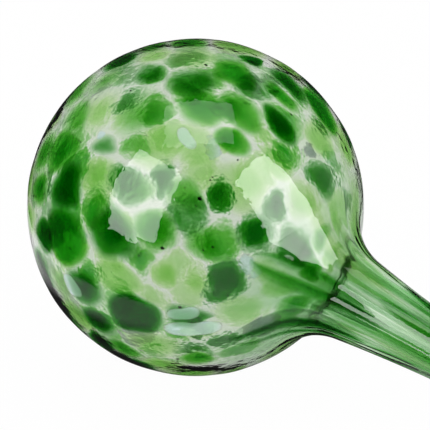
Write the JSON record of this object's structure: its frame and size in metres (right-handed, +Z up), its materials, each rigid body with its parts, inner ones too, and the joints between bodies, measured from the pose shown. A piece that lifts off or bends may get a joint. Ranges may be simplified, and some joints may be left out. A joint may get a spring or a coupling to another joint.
{
  "type": "watering globe",
  "caption": "Hand-blown mottled green glass watering globe with a long tapering hollow stem that is pushed into potting soil.",
  "frame": {"origin": "on the table surface, at the middle of the part's length and width, as the part lies on its globe and on the tip of its stem", "axes": "+X from the globe towards the open tip of the stem, +Z up from the table"},
  "size_m": [0.2776, 0.09, 0.09],
  "materials": {
    "clear_glass": "polished",
    "deep_green_glass": "polished",
    "mid_green_glass": "polished",
    "pale_green_glass": "polished",
    "smoke_grey_glass": "polished"
  },
  "bodies": {
    "root": {"clear_glass_body": "clear_glass", "deep_green_chips": "deep_green_glass", "mid_green_chips": "mid_green_glass", "pale_green_chips": "pale_green_glass", "smoke_grey_chips": "smoke_grey_glass", "deep_green_streaks": "deep_green_glass", "mid_green_streaks": "mid_green_glass", "pale_green_streaks": "pale_green_glass"}
  },
  "joints": []
}
